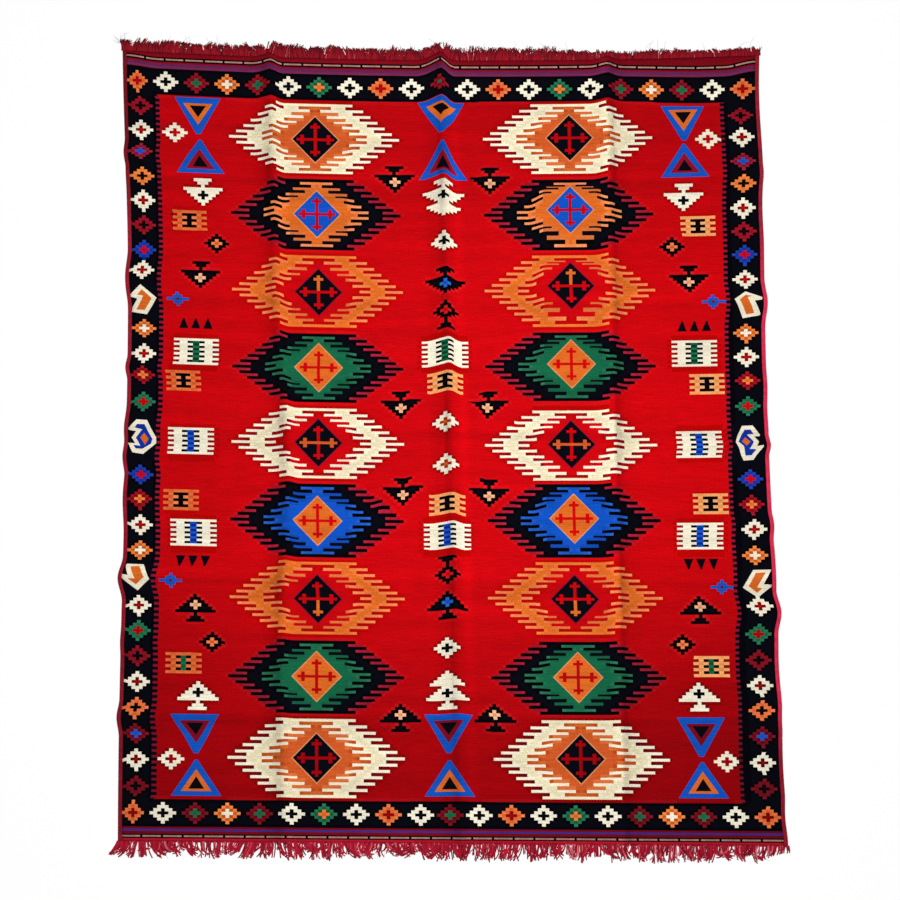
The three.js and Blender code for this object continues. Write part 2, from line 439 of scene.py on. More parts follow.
# Figures whose edges slant are inlaid: each is up to three closed outlines, one inside the
# other, in millimetres from its middle.
FIGURES = {
    "diamond": [
        [(0, 77.5), (76.5, 0), (0, -77.5), (-76.5, 0)],
        [(0, 73), (72, 0), (0, -73), (-72, 0)],
    ],
    "triangle down": [
        [(-73, 58.5), (73, 58.5), (7, -58.5), (-7, -58.5)],
        [(-46, 39.5), (46, 39.5), (0, -28.5)],
        [(-26, 32.5), (26, 32.5), (0, -4.5)],
    ],
    "triangle up": [
        [(-76, -53.5), (76, -53.5), (4, 53.5), (-4, 53.5)],
        [(-46, -39.5), (46, -39.5), (0, 25.5)],
        [(-24, -32.5), (24, -32.5), (0, 4.5)],
    ],
    "small triangle": [[(-15, -16), (15, -16), (2, 16), (-2, 16)]],
    "hook left": [
        [(-4, 46), (43, 5), (9, -47), (-39, -42), (-37, -27), (-19, 0), (-42, 5), (-40, 12)],
        [(-1, 30), (27, 3), (2, -34), (-25, -34), (1, 10), (-18, 12)],
    ],
    "hook right": [
        [(-7, 41), (43, 22), (41, 14), (18, 12), (39, -29), (37, -34), (-15, -42), (-44, 18)],
        [(-28, 16), (-9, 30), (14, 27), (-3, 23), (19, -27), (-6, -30)],
    ],
    "low hook left": [
        [(-33, 39), (19, 38), (45, -6), (4, -41), (-45, 2), (-43, 9), (-21, 5), (-35, 33)],
        [(-20, 31), (7, 33), (28, 0), (3, -23), (-21, -4), (1, -5)],
    ],
    "low hook right": [
        [(-13, 37), (43, 38), (40, 31), (18, -6), (43, -8), (42, -14), (-2, -46), (-46, -16)],
        [(-5, 28), (26, 30), (-2, -15), (14, -19), (-2, -32), (-28, -12)],
    ],
    "double hook left": [
        [(-21, 53), (13, 52), (44, -2), (43, -18), (34, -26), (6, -52), (-27, -48), (-46, -19),
         (-23, -20), (-34, -3), (-19, 17), (-42, 20), (-44, 25)],
        [(-17, 39), (6, 39), (31, -5), (26, -21), (2, -36), (-19, -36), (-28, -25), (-6, -27),
         (-21, -3), (0, 23), (-24, 28)],
        [(6, 12), (19, -5), (8, -24), (-7, -2)],
    ],
    "double hook right": [
        [(-16, 52), (18, 53), (40, 24), (38, 20), (21, 19), (32, 4), (24, -10), (46, -7), (45, -12),
         (18, -52), (-13, -54), (-29, -20), (-41, 3)],
        [(-8, 40), (11, 40), (20, 27), (-1, 25), (16, 4), (2, -18), (24, -20), (12, -38), (-7, -39),
         (-17, -9), (-32, 4)],
        [(-8, 17), (5, 4), (-8, -8), (-21, 5)],
    ],
}
PINNED = [0, LEFT_BORDER, LEFT_BORDER + 1, COLUMNS - RIGHT_BORDER - 1, COLUMNS - RIGHT_BORDER, COLUMNS]
figure_kind = np.zeros((ROWS, COLUMNS), int)
figure_at = np.zeros((ROWS, COLUMNS, 2))
figure_turn = np.ones((ROWS, COLUMNS, 2))


def dye(rows, columns, name):
    """Weaves a block of cells in one dye."""
    chart[:, rows, columns] = DYE_NAMES.index(name)


def ease(row, column, rows, columns, xs, ys, margin=3.0):
    """Moves the grid under a motif so that its cells take the given sizes. The block starts at
    (row, column) and has so many rows and columns; xs and ys are its edges' true places.
    The shift is whole inside the block and fades to nothing over the margin round it; the
    outermost warps and those of the toothed edges are pinned."""
    global grid_x, grid_y
    c = np.arange(COLUMNS + 1)
    r = np.arange(ROWS + 1)
    beyond_c = np.maximum(0, np.maximum(column - c, c - column - columns)) / margin
    beyond_r = np.maximum(0, np.maximum(row - r, r - row - rows)) / margin
    share = hump(beyond_r, 1.0)[:, None] * hump(beyond_c, 1.0)[None, :]
    share[:, PINNED] = 0.0
    middle_row = int(round(row + rows / 2))
    middle_column = int(round(column + columns / 2))
    held = np.clip(c - column, 0, columns)
    shift = (xs - grid_x[middle_row, column : column + columns + 1])[held]
    grid_x = grid_x + share * shift[None, :]
    held = np.clip(r - row, 0, rows)
    shift = (ys - grid_y[row : row + rows + 1, middle_column])[held]
    grid_y = grid_y + share * shift[:, None]


def find_cell(x, y):
    """The row and column, with fractions, at a place on the straight cloth, in millimetres."""
    row = np.interp(-y / 1000, -straight_y, row_edges)
    line = grid_x[int(round(row))]
    return row, np.interp(x / 1000, line, np.arange(COLUMNS + 1))


def stepped(x, y, widths, name, heart, heart_row, height, width, cross=True, left=None, upright=True):
    """A stepped motif about (x, y): one row of cells for each width, all odd, counted in cells,
    with a plus-shaped heart of three by three cells. It is eased to its height and width."""
    rows, columns = len(widths), max(widths)
    if not upright:
        widths = widths[::-1]
        heart_row = rows - 1 - heart_row
    row, column = find_cell(x, y)
    top = int(round(row - rows / 2))
    left = int(round(column - columns / 2)) if left is None else left
    middle = left + columns // 2
    for step, wide in enumerate(widths):
        dye(top + step, slice(middle - wide // 2, middle + wide // 2 + 1), name)
    at = top + heart_row
    dye(at, slice(middle - 1, middle + 2) if cross else middle, heart)
    if cross:
        dye(slice(at - 1, at + 2), middle, heart)
    xs = (x + width * (np.arange(columns + 1) / columns - 0.5)) / 1000
    ys = (y + height * (0.5 - np.arange(rows + 1) / rows)) / 1000
    ease(top, left, rows, columns, xs, ys)


LOZENGE = (1, 3, 5, 7, 5, 3, 1)


def lozenge(x, y, name, heart, height=62.0, width=80.0, left=None):
    """The small stepped diamond with a plus in its middle."""
    stepped(x, y, LOZENGE, name, heart, 3, height, width, left=left)


def bird(x, y, name, heart, headed_up=True):
    """A bird seen from above: a spread head and neck, then wings stepping in to the tail."""
    stepped(x, y, (5, 3, 1, 11, 9, 7, 5, 3, 1), name, heart, 5, 85.0, 124.0, upright=headed_up)


def two_tier_bird(x, y, headed_up=True):
    """The larger white bird on the middle line, with two pairs of wings."""
    widths = (5, 3, 1, 11, 9, 7, 5, 3, 9, 7, 5, 3, 1)
    stepped(x, y, widths, "white", "black", 5, 115.0, 128.0, upright=headed_up)


def footed_lozenge(x, y, foot_down=True):
    """A black diamond on a stepped foot; (x, y) is the middle of the whole."""
    stepped(x, y, LOZENGE + (1, 3, 5), "black", "red", 3, 86.0, 79.0, upright=foot_down)


def comb(x, y, name, bar, groups, rows, height):
    """A comb: two spines joined by lines at top and bottom, with fingers outwards on every
    other row and inwards between, round an upright bar. The groups are (cells, millimetres)
    across: fingers, spine, inner fingers, bar, and the same again."""
    counts = [cells for cells, _ in groups]
    columns = sum(counts)
    row, column = find_cell(x, y)
    top = int(round(row - rows / 2))
    left = int(round(column - columns / 2))
    edges = left + np.cumsum([0] + counts)
    dye(slice(top, top + rows), slice(edges[1], edges[6]), name)
    dye(slice(top, top + rows, 2), slice(edges[0], edges[7]), name)
    dye(slice(top + 1, top + rows, 2), slice(edges[2], edges[5]), bar + " shade")
    dye(slice(top + 1, top + rows - 1), slice(edges[3], edges[4]), bar)
    sizes = np.cumsum([0] + [size for _, size in groups])
    places = x + sizes - sizes[-1] / 2
    xs = np.interp(np.arange(columns + 1), edges - left, places) / 1000
    ys = (y + height * (0.5 - np.arange(rows + 1) / rows)) / 1000
    ease(top, left, rows, columns, xs, ys, margin=1.0)


WIDE_GROUPS = [(2, 18.5), (2, 24.8), (2, 17.0), (1, 20.8), (2, 17.0), (2, 24.8), (2, 20.0)]
SMALL_GROUPS = [(2, 16.5), (1, 14.5), (1, 15.6), (1, 15.6), (1, 15.6), (1, 14.5), (2, 17.5)]


def wide_comb(x, y, bar):
    comb(x, y, "white", bar, WIDE_GROUPS, 11, 81.0)


def small_comb(x, y, bar):
    comb(x, y, "terracotta" if x < -100 else "apricot", bar, SMALL_GROUPS, 7, 63.0)


FIELD_HALF_WIDTH = 880  # millimetres; what lies further out is in a side border


def inlay(x, y, kind, dyes, across=False, along=False):
    """A figure with slanting edges about (x, y), in millimetres from the rug's middle. Its faces
    take the material that draws its kind's outlines, and the dyes within them, outermost first;
    it may be turned over left to right (across) or top to bottom (along)."""
    wide, high = np.abs(np.concatenate(FIGURES[kind])).max(axis=0)
    row, column = find_cell(x, y)
    row_line = y - grid_y[:, int(column)] * 1000
    column_line = grid_x[int(row)] * 1000 - x
    rows = slice(np.searchsorted(row_line, -high) - 1, np.searchsorted(row_line, high) + 1)
    first = max(0, np.searchsorted(column_line, -wide) - 1)
    last = np.searchsorted(column_line, wide) + 1
    if x < -FIELD_HALF_WIDTH:
        last = min(last, LEFT_BORDER)
    if x > FIELD_HALF_WIDTH:
        first = max(first, COLUMNS - RIGHT_BORDER)
    columns = slice(first, last)
    for layer, name in enumerate(dyes):
        chart[layer + 1 :, rows, columns] = DYE_NAMES.index(name)
    figure_kind[rows, columns] = 1 + list(FIGURES).index(kind)
    figure_at[rows, columns] = (x / 1000, y / 1000)
    figure_turn[rows, columns] = (-1.0 if across else 1.0, -1.0 if along else 1.0)


for base in ("green", "blue", "black"):
    DYES[base + " shade"] = tuple(0.45 * part for part in DYES[base])
DYE_NAMES[:] = list(DYES)

# The ground: stripes at both ends, the black border with a toothed inner edge, the field.
TOP_STRIPES = ["dark red", "black", "tan", "black", "crimson", "violet", "plum"]
BOTTOM_STRIPES = ["crimson", "indigo", "crimson", "black", "dull tan", "black", "edge red"]
for first, stripes in ((0, TOP_STRIPES), (ROWS - len(BOTTOM_STRIPES), BOTTOM_STRIPES)):
    for row, name in enumerate(stripes):
        dye(first + row, slice(None), name)
for row in DASH_ROWS:
    dye(row, dash_gaps, "black")
dye(slice(FIELD_TOP, FIELD_BOTTOM), slice(LEFT_BORDER + 1, COLUMNS - RIGHT_BORDER - 1), "red")
for column in (LEFT_BORDER, COLUMNS - RIGHT_BORDER - 1):
    dye(slice(FIELD_TOP, FIELD_BOTTOM), column, "pink")
    toothed[FIELD_TOP:FIELD_BOTTOM, column] = 1.0

# The end borders' diamonds from the middle outwards: ring and heart.
END_DIAMONDS = [
    ("crimson", "green"),
    ("white", "black"),
    ("terracotta", "red"),
    ("white", "black"),
    ("green", "orange"),
    ("white", "black"),
    ("crimson", "green"),
    ("orange", "white"),
    ("crimson", "green"),
    ("white", "black"),
    ("terracotta", "red"),
]
MIDDLE_DIAMOND = len(DIAMOND_STEPS)
for row in (11, 263):  # the middle rows of the two end borders
    for number, at in enumerate(diamond_middles.astype(int)):
        ring, heart = END_DIAMONDS[abs(number - MIDDLE_DIAMOND)]
        small = number == MIDDLE_DIAMOND and row == 11
        reach, arm = (2, 0) if small else (3, 1)
        for step in range(-reach, reach + 1):
            half = reach - abs(step)
            dye(row + step, slice(at - half, at + half + 1), ring)
        dye(row, slice(at - arm, at + arm + 1), heart)
        dye(slice(row - arm, row + arm + 1), at, heart)

# The side borders' diamonds: y on the left, y on the right, ring, heart, height.
SIDE_DIAMONDS = [
    (1033, 1020, "crimson", "black", 60),
    (956, 947, "white", "red", 62),
    (888, 871, "pink", "blue", 50),
    (808, 799, "orange", "black", 58),
    (732, 722, "white", "red", 66),
    (654, 648, "crimson", "black", 60),
    (576, 575, "deep blue", "red", 60),
    (513, 497, "white", "red", 58),
    (330, 330, "orange", "white", 56),
    (252, 255, "white", "red", 62),
    (186, 182, "crimson", "orange", 56),
    (103, 103, "green", "red", 60),
    (-121, -121, "deep blue", "red", 60),
    (-195, -198, "crimson", "orange", 58),
    (-274, -274, "white", "red", 62),
    (-351, -353, "orange", "white", 58),
    (-517, -506, "white", "red", 60),
    (-593, -590, "green", "red", 62),
    (-669, -668, "crimson", "black", 62),
    (-746, -744, "white", "red", 62),
    (-822, -818, "terracotta", "black", 60),
    (-900, -895, "crimson", "blue", 60),
    (-976, -973, "white", "red", 62),
    (-1055, -1050, "crimson", "black", 60),
]
for left_y, right_y, ring, heart, high in SIDE_DIAMONDS:
    lozenge(-947, left_y, ring, heart, high, 77.0, left=0)
    lozenge(938, right_y, ring, heart, high, 80.0, left=COLUMNS - 8)

# The medallions, two files of nine: for the left and the right one the middle of its diamond
# and how far its ring strays along the rug, in millimetres; then the ring's dye, the dye inside
# it, the diamond's, and the cross's odd arm.
MEDALLIONS = [
    ((-398, 944, -1), (396, 956, 5), "ivory", "terracotta", "black", None),
    ((-396, 706, -3), (394, 726, 2), "black", "orange", "blue", None),
    ((-392, 459, -3), (391, 485, 4), "orange", "red", "black", "up"),
    ((-394, 223, -6), (388, 240, 4), "black", "green", "orange", None),
    ((-395, -11, -8), (382, -10, -9), "ivory", "red", "black", "across"),
    ((-399, -251, -7), (385, -238, -2), "black", "blue", "orange", None),
    ((-399, -489, -3), (381, -484, 2), "orange", "red", "black", "down"),
    ((-404, -723, -5), (386, -720, -3), "black", "green", "orange", None),
    ((-405, -967, -2), (388, -964, -1), "ivory", "terracotta", "black", None),
]
FINGERS = {
    "ivory": "white",
    "terracotta": "pale terracotta",
    "orange": "pale orange",
    "green": "pale green",
    "blue": "pale blue",
}
FINGER_SHARE = 0.45  # of each pair of rows; the wefts of a finger are beaten closer
BLACK_FINGER_SHARE = 0.56
REACH_ROWS = 12  # how far a medallion reaches from its middle cell
REACH_COLUMNS = 23
FILE_COLUMNS = 35  # from the middle line to the middle of a file of medallions
FIRST_MEDALLION_ROW = 29
MEDALLION_ROWS = 27
CROSS_REACH = 6
CROSS_EDGES = [0, 0.5, 3.5, 4.5, 5.5, 6.5]  # in cells, before and after easing
CROSS_XS = [0, 0.42, 3.15, 4.15, 5.15, 6.5]
CROSS_YS = [0, 0.46, 4.05, 5.0, 5.85, 6.5]


def both_sides(row, middle, near, far, name):
    """Weaves the cells from near to far on both sides of a middle column."""
    dye(row, slice(middle + near, middle + far + 1), name)
    dye(row, slice(middle - far, middle - near + 1), name)


def medallion(x, y, stray, row, ring, inner, odd_arm):
    """A serrated medallion, 25 rows of cells: fingers point out and in on every other row from
    a stepped ring that closes at top and bottom. Its diamond is inlaid later; the cross in it
    is woven in cells, eased to its own sizes."""
    middle = MIDDLE_COLUMN + (-FILE_COLUMNS if x < 0 else FILE_COLUMNS)
    for step in range(-REACH_ROWS, REACH_ROWS + 1):
        away = abs(step)
        if away == REACH_ROWS:
            outer, hollow = 10, -1
        elif away % 2 == 0:
            outer, hollow = REACH_COLUMNS - away, 11 - away
        else:
            outer, hollow = 19 - away, 15 - away
        here = row + step
        dye(here, slice(middle - outer, middle + outer + 1), ring)
        if hollow >= 0:
            dye(here, slice(middle - hollow, middle + hollow + 1), inner)
        if away % 2 == 0 and away < REACH_ROWS:
            both_sides(here, middle, hollow + 1, min(14, 16 - away), FINGERS.get(ring, ring))
            both_sides(here, middle, 19 - away, outer, FINGERS.get(ring, ring))
        elif away % 2 == 1:
            both_sides(here, middle, 11 - away, hollow, FINGERS.get(inner, inner))
            if ring == "black":
                both_sides(here, middle, outer + 1, outer + 4, "bright crimson")
    arms = dict(up="red", down="red", across="red")
    if odd_arm:
        arms[odd_arm] = "terracotta" if odd_arm == "across" else "orange"
    dye(slice(row - 5, row + 1), middle, arms["up"])
    dye(slice(row, row + 6), middle, arms["down"])
    dye(row - 4, slice(middle - 1, middle + 2), arms["up"])
    dye(row + 4, slice(middle - 1, middle + 2), arms["down"])
    dye(row, slice(middle - 5, middle + 6), arms["across"])
    for side in (-4, 4):
        dye(slice(row - 1, row + 2), middle + side, arms["across"])

    rows, columns = 2 * REACH_ROWS + 1, 2 * REACH_COLUMNS + 1
    line_x = grid_x[row, middle - REACH_COLUMNS : middle + REACH_COLUMNS + 2]
    line_y = grid_y[row - REACH_ROWS : row + REACH_ROWS + 2, middle]
    pitch_x = (line_x[-1] - line_x[0]) / columns
    pitch_y = (line_y[0] - line_y[-1]) / rows
    finger = 2 * pitch_y * (BLACK_FINGER_SHARE if ring == "black" else FINGER_SHARE)
    gap = (rows * pitch_y - (REACH_ROWS + 1) * finger) / REACH_ROWS
    heights = np.where(np.arange(rows) % 2 == 0, finger, gap)
    ring_ys = line_y[0] + stray / 1000 - np.concatenate([[0], np.cumsum(heights)])
    ring_xs = line_x + x / 1000 - (grid_x[row, middle] + grid_x[row, middle + 1]) / 2
    ease(row - REACH_ROWS, middle - REACH_COLUMNS, rows, columns, ring_xs, ring_ys, margin=2.0)
    from_middle = np.arange(-CROSS_REACH, CROSS_REACH + 2) - 0.5
    away = np.abs(from_middle)
    xs = x / 1000 + pitch_x * np.sign(from_middle) * np.interp(away, CROSS_EDGES, CROSS_XS)
    ys = y / 1000 - pitch_y * np.sign(from_middle) * np.interp(away, CROSS_EDGES, CROSS_YS)
    cells = 2 * CROSS_REACH + 1
    ease(row - CROSS_REACH, middle - CROSS_REACH, cells, cells, xs, ys, margin=5.0)
    return row, middle


medallion_middles = []
for number, (left, right, ring, inner, diamond, odd_arm) in enumerate(MEDALLIONS):
    for x, y, stray in (left, right):
        row = FIRST_MEDALLION_ROW + MEDALLION_ROWS * number
        place = medallion(x, y, stray, row, ring, inner, odd_arm)
        medallion_middles.append((x, y, *place, diamond, inner))

def in_pairs(motif, pairs):
    """Weaves a motif on the left and again on the right: the x and y of each, then its dyes."""
    for left_x, left_y, right_x, right_y, *dyes in pairs:
        motif(left_x, left_y, *dyes)
        motif(right_x, right_y, *dyes)


def small_cross(x, y):
    stepped(x, y, (1, 3, 7, 3, 1), "bright blue", "plum", 2, 44.0, 70.0, cross=False)


# The motifs between the medallions and the side borders, and down the middle line, in
# millimetres from the rug's middle.
SIDE_LOZENGES = [
    (-840, 952, 831, 944, "white", "red"),
    (-714, 604, 710, 604, "black", "terracotta"),
    (-720, -624, 706, -621, "black", "terracotta"),
    (-842, -974, 830, -970, "white", "red"),
]
in_pairs(lozenge, SIDE_LOZENGES)
lozenge(0, 609, "white", "black")
lozenge(-4, 48, "white", "terracotta")
lozenge(-4, -81, "white", "terracotta")
lozenge(-9, -637, "white", "black")

SIDE_BIRDS = [
    (-755, 765, 750, 760, "white", "black", True),
    (-762, 504, 761, 502, "black", "peach", True),
    (-773, -522, 757, -517, "black", "peach", False),
    (-762, -785, 750, -778, "white", "black", False),
    (-150, 821, 145, 819, "black", "peach", True),
    (-140, 109, 127, 112, "black", "peach", True),
    (-137, -159, 126, -161, "black", "peach", True),
    (-152, -845, 132, -843, "black", "peach", False),
]
in_pairs(bird, SIDE_BIRDS)
bird(2, 485, "black", "blue", True)
bird(-6, -509, "black", "blue", False)
two_tier_bird(0, 745, True)
two_tier_bird(-10, -763, False)
footed_lozenge(2, 379, True)
footed_lozenge(-4, -403, False)

WIDE_COMBS = [
    (-780, 263, 774, 269, "green"),
    (-790, -14, 779, -13, "blue"),
    (-782, -294, 771, -293, "blue"),
]
in_pairs(wide_comb, WIDE_COMBS)
wide_comb(-2, 268, "green")
wide_comb(-3, -297, "blue")
SMALL_COMBS = [
    (-800, 674, 794, 668, "black"),
    (-819, 172, 810, 173, "black"),
    (-819, -195, 810, -195, "black"),
    (-807, -688, 793, -687, "green"),
]
in_pairs(small_comb, SMALL_COMBS)
small_comb(-3, 174, "black")
small_comb(-2, -201, "black")
in_pairs(small_cross, [(-837, 425, 830, 429), (-841, -440, 832, -448)])

# The inlaid motifs, whose edges slant: the medallions' diamonds, the nested triangles,
# the small black triangles and the hooks in the side borders.
for x, y, row, column, name, around in medallion_middles:
    rim = "peach" if around != "red" else "pink"
    reach = CROSS_REACH
    near = np.s_[:, row - reach : row + reach + 1, column - reach : column + reach + 1]
    woven = chart[near].copy()
    up, side = np.abs(np.indices((2 * reach + 1, 2 * reach + 1)) - reach)
    cross = ((side == 0) & (up <= 5)) | ((up == 0) & (side <= 5))
    cross |= ((up == 4) & (side <= 1)) | ((side == 4) & (up <= 1))
    inlay(x, y, "diamond", (rim, name))
    chart[near] = np.where(cross, woven, chart[near])

TRIANGLES = [  # x, y of the middle, pointing up or down, dye of the second triangle
    (-766, 1008, "down", "orange"),
    (756, 1000, "down", "orange"),
    (-761, 878, "up", "bright crimson"),
    (754, 877, "up", "bright crimson"),
    (-4, 1010, "down", "orange"),
    (0, 872, "up", "bright crimson"),
    (-767, -898, "down", "bright crimson"),
    (753, -897, "down", "bright crimson"),
    (-766, -1029, "up", "orange"),
    (755, -1025, "up", "orange"),
    (-8, -892, "down", "bright crimson"),
    (-7, -1025, "up", "orange"),
]
for x, y, pointing, name in TRIANGLES:
    inlay(x, y, "triangle " + pointing, ("bright blue", name, "black"))
for x, y, turned in ((-782, 351, False), (775, 354, False), (-783, -380, True), (770, -378, True)):
    for step in (-38.5, 0, 38.5):
        inlay(x + step, y, "small triangle", ("black",), along=turned)
inlay(-948, 421, "hook left", ("white", "orange"))
inlay(941, 418, "hook right", ("white", "orange"))
inlay(-949, -432, "low hook left", ("white", "orange"))
inlay(942, -434, "low hook right", ("white", "orange"))
inlay(-942, -6, "double hook left", ("white", "deep blue", "orange"))
inlay(932, -10, "double hook right", ("white", "deep blue", "orange"))

# The top rows droop on the right of the field's middle, and both ends of the top stripes
# were beaten up towards the corners.
droop = 0.012 * np.interp(grid_x, [0.50, 0.80], [0, 1])
grid_y -= droop * np.interp(row_edges, [0, 1, 16, 24], [0, 1, 1, 0])[:, None]
for end, rise in ((-1, 0.009), (1, 0.015)):
    reach = hump(grid_x - end * CLOTH_HALF_WIDTH, 0.10)
    grid_y += rise * reach * np.interp(row_edges, [0, 1, 7, 8], [0, 1, 0.9, 0])[:, None]


# The red was dyed in several batches: its strength up the rug, how much that changes from
# the middle to the right edge, and how much it changes towards both sides.
RED_DYES = ["red", "crimson", "pink", "bright crimson", "dark red"]
RED_UP = [0.0, 0.08, 0.14, 0.21, 0.29, 0.36, 0.50, 0.71, 0.81, 0.91, 1.0]
RED_STRENGTH = [0.78, 0.80, 0.84, 0.92, 1.00, 1.03, 1.02, 1.02, 0.97, 0.92, 0.90]
RED_TILT = [-0.03, -0.03, -0.03, -0.01, 0.0, 0.02, 0.03, 0.03, 0.0, -0.04, -0.04]
RED_AT_SIDES = [-0.11, -0.11, -0.11, -0.11, -0.09, -0.03, 0.0, 0.0, 0.0, 0.0, 0.0]


def cell_colours(crispness=0.5):
    """The linear colour of each cell in each of the four layers. Each dye's lightness is pushed
    away from the mean of the four cells round it, which sharpens the pattern; where it darkens a
    thin dark row between lighter ones it is painted shade, as falls in the slits of the weave."""
    colours = np.array([DYES[name] for name in DYE_NAMES], float)[chart]
    lightness = colours @ np.array([0.30, 0.59, 0.11])
    padded = np.pad(lightness, ((0, 0), (1, 1), (1, 1)), mode="edge")
    around = padded[:, :-2, 1:-1] + padded[:, 2:, 1:-1] + padded[:, 1:-1, :-2] + padded[:, 1:-1, 2:]
    # Painted shade and sharpening: cells darker than those round them are darkened, lighter ones
    # lightened.
    push = crispness * (lightness - around / 4)
    push[:, figure_kind > 0] = 0.0
    up = grid_y[:-1, :-1] / (2 * HALF_LENGTH) + 0.5
    right = grid_x[:-1, :-1] / CLOTH_HALF_WIDTH
    across = np.interp(up, RED_UP, RED_TILT) * right + np.interp(up, RED_UP, RED_AT_SIDES) * right**2
    batch = np.interp(up, RED_UP, RED_STRENGTH) * (1 + across)
    reds = np.isin(chart, [DYE_NAMES.index(name) for name in RED_DYES])
    colours = colours * np.where(reds, batch, 1.0)[..., None]
    colours = np.maximum(colours + push[..., None], 2)
    return to_linear(colours * np.minimum(1, 253 / colours.max(axis=-1, keepdims=True)))


# Painted shade and light along the folds: the flank of each long fold that faces away from
# the lamp is painted darker and the other lighter, most of all where folds cross: distance
# from the crown, reach, change.
FOLD_PAINTED_SHADING = [
    [(-0.014, 0.024, -0.24), (-0.034, 0.055, -0.12), (0.026, 0.030, 0.06)],
    [(-0.010, 0.018, -0.32), (-0.032, 0.050, -0.14), (0.034, 0.032, 0.16)],
    [(0.011, 0.017, -0.28), (0.038, 0.050, -0.08), (-0.010, 0.016, 0.14)],
]
# Painted shade and light on the cross folds: darker below each crown, lighter above it.
CROSS_FOLD_PAINTED_SHADING = [(-0.010, 0.018, -0.07), (-0.030, 0.045, -0.04), (0.014, 0.024, 0.05)]


def lobes(distance, painted_strips):
    """The sum of a fold's strips of painted shade and light, each fading out over its own reach."""
    return sum(change * hump(distance - at, reach) for at, reach, change in painted_strips)


def painted_fold_shading(x, y):
    """The factor of painted shade and light along the folds, at places on the straight cloth."""
    crossed = 0.8 + sum(0.4 * hump(y - CROSS_RIDGES[number][0], 0.14) for number in (0, 2, 3))
    share = np.ones(np.shape(x))
    for ridge, painted_strips in zip(LONG_RIDGES, FOLD_PAINTED_SHADING):
        share = share * (1 + crossed * lobes(from_crown(ridge, x, y), painted_strips))
    for at, height, flank in CROSS_RIDGES:
        share = share * (1 + lobes(y - at, CROSS_FOLD_PAINTED_SHADING))
    return share


def grid_mesh(name, places):
    """A mesh of four-sided faces on a grid of places, rows by columns."""
    rows, columns = places.shape[:2]
    corner = (np.arange(rows - 1)[:, None] * columns + np.arange(columns - 1)[None, :]).ravel()
    faces = np.stack([corner + columns, corner + columns + 1, corner + 1, corner], axis=1)
    mesh = bpy.data.meshes.new(name)
    mesh.vertices.add(rows * columns)
    mesh.vertices.foreach_set("co", places.reshape(-1).astype(np.float32))
    mesh.loops.add(faces.size)
    mesh.loops.foreach_set("vertex_index", faces.reshape(-1).astype(np.int32))
    mesh.polygons.add(len(faces))
    mesh.polygons.foreach_set("loop_start", np.arange(0, faces.size, 4, dtype=np.int32))
    mesh.update(calc_edges=True)
    mesh.polygons.foreach_set("use_smooth", np.ones(len(faces), bool))
    return mesh, faces


def store(mesh, name, kind, domain, values):
    """A named attribute on a mesh, filled from an array."""
    layer = mesh.attributes.new(name, kind, domain)
    field = {"FLOAT_COLOR": "color", "FLOAT": "value", "FLOAT_VECTOR": "vector"}[kind]
    layer.data.foreach_set(field, np.ascontiguousarray(values, dtype=np.float32).ravel())


def cloth_piece():
    """The charted grid laid out in its folds, a thickness above the floor, and thickened down."""
    places = lay_out(grid_x, grid_y) + MIDDLE
    places[..., 2] += CLOTH_THICKNESS
    mesh, faces = grid_mesh("tapestry_cloth", places)
    colours = cell_colours()
    alpha = np.ones((ROWS * COLUMNS, 1))
    for layer in range(4):
        flat = np.concatenate([colours[layer].reshape(-1, 3), alpha], axis=1)
        store(mesh, f"dye_{layer}", "FLOAT_COLOR", "FACE", flat)
    level = np.zeros(grid_x.shape)
    store(mesh, "woven_place", "FLOAT_VECTOR", "POINT", np.stack([grid_x, grid_y, level], axis=-1))
    flat = np.zeros((ROWS, COLUMNS, 1))
    store(mesh, "figure_at", "FLOAT_VECTOR", "FACE", np.concatenate([figure_at, flat], axis=-1))
    store(mesh, "figure_turn", "FLOAT_VECTOR", "FACE", np.concatenate([figure_turn, flat], axis=-1))
    mesh.polygons.foreach_set("material_index", figure_kind.ravel().astype(np.int32))
    # The folds' painted shade and light, as a factor at each point of the grid.
    store(mesh, "painted_fold_shading", "FLOAT", "POINT", painted_fold_shading(grid_x, grid_y))
    store(mesh, "toothed", "FLOAT", "FACE", toothed)
    store(mesh, "tooth_count", "FLOAT", "POINT", grid_y / TOOTH_PITCH)
    spread = mesh.uv_layers.new(name="OFBake")
    u = (np.arange(COLUMNS + 1) / COLUMNS)[None, :].repeat(ROWS + 1, axis=0)
    v = 0.5 + grid_y / (2 * HALF_LENGTH)
    uv = np.stack([u, v], axis=-1).reshape(-1, 2)[faces.reshape(-1)]
    spread.data.foreach_set("uv", uv.astype(np.float32).ravel())
    piece = add_object("tapestry_cloth", mesh)
    thickness = piece.modifiers.new("thickness", "SOLIDIFY")
    thickness.thickness = CLOTH_THICKNESS
    thickness.offset = -1.0
    return piece


def attribute(tree, name):
    return add_node(tree, "Attribute", attribute_name=name)


def mix_colour(tree, share, first, second, blend="MIX"):
    mixed = add_node(tree, "Mix", data_type="RGBA", blend_type=blend, clamp_factor=True)
    for slot, value in ((0, share), (6, first), (7, second)):
        if isinstance(value, bpy.types.NodeSocket):
            tree.links.new(value, mixed.inputs[slot])
        else:
            mixed.inputs[slot].default_value = value
    return mixed.outputs[2]


def streak(tree, scale, detail, low, high):
    """Noise stretched by the scale along each axis, as a factor between low and high."""
    where = add_node(tree, "TexCoord").outputs["Object"]
    stretched = add_node(tree, "Mapping", {"Vector": where, "Scale": scale}).outputs[0]
    noise = add_node(tree, "TexNoise", {"Vector": stretched, "Scale": 1.0, "Detail": detail})
    span = {"From Min": 0.3, "From Max": 0.7, "To Min": low, "To Max": high}
    return add_node(tree, "MapRange", {"Value": noise.outputs["Fac"], **span}).outputs[0]


